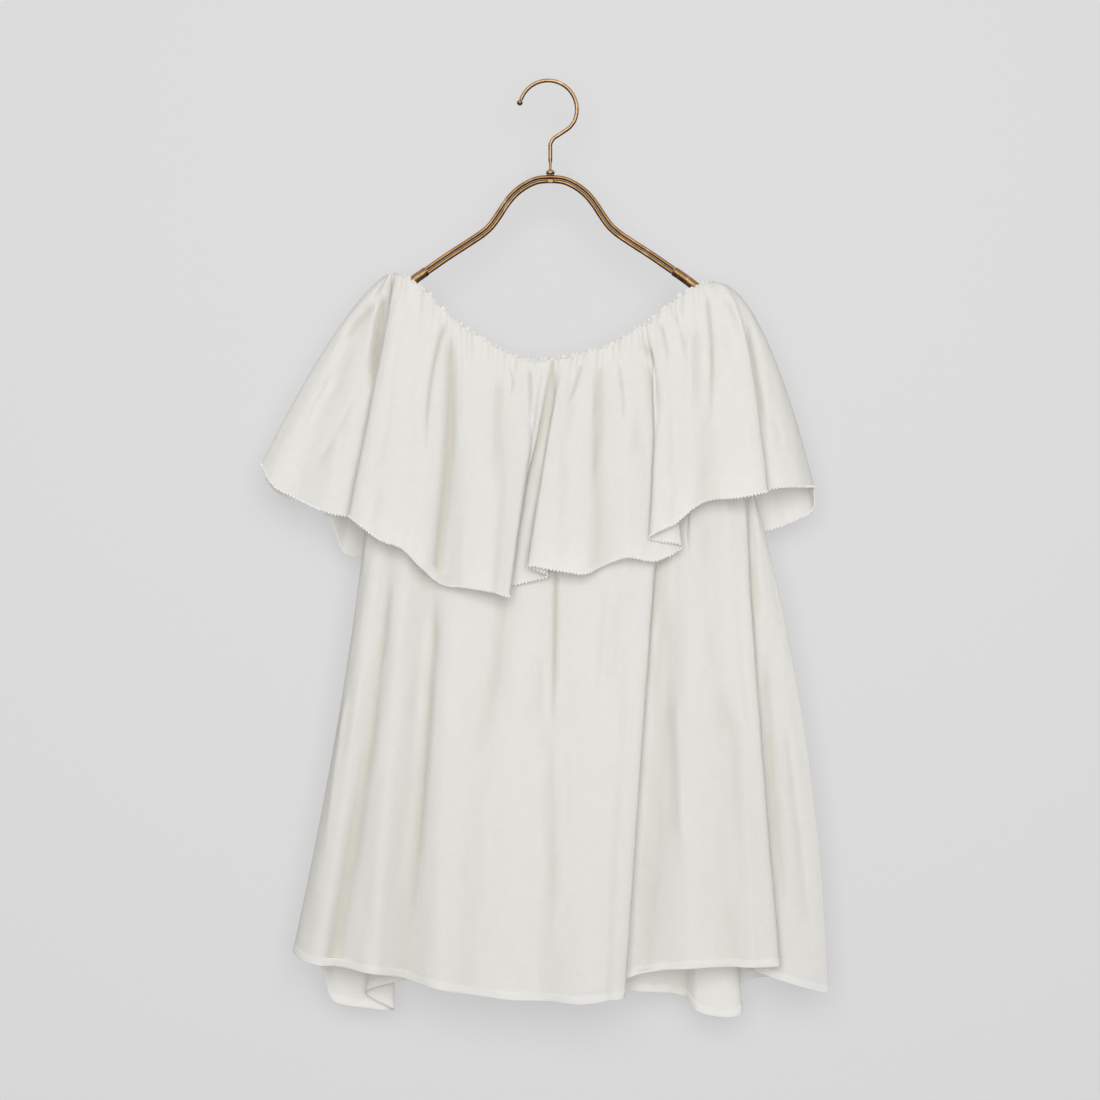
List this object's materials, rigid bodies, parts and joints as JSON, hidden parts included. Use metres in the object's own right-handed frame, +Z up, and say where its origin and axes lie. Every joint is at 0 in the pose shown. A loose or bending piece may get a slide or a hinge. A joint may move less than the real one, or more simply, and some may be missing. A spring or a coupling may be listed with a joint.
{
  "type": "off-shoulder top on a hanger",
  "caption": "Gathered off-shoulder top with a deep flounce and a picot edge, hung on a slim double-rod hanger with an open hook.",
  "frame": {"origin": "inside top of the hook, where a rail or peg carries the hanger", "axes": "+Z up, +X to the viewer's right, +Y away from the viewer, so the front of the top faces -Y"},
  "size_m": [0.5674, 0.098, 0.9414],
  "materials": {
    "cloth": "fine slubby plain weave, ivory, slightly sheer",
    "brass": "antique brass, darkened in the hollows and worn bright"
  },
  "bodies": {
    "root": {"arch_rivet": "brass", "body_back": "cloth", "body_front": "cloth", "flounce_back": "cloth", "flounce_front": "cloth", "hanger_hook": "brass", "hanger_rod_lower": "brass", "hanger_rod_upper": "brass", "hanger_sleeve_left": "brass", "hanger_sleeve_right": "brass", "hook_ball": "brass", "neck_casing_back": "cloth", "neck_casing_front": "cloth", "stem_nut": "brass"}
  },
  "joints": []
}
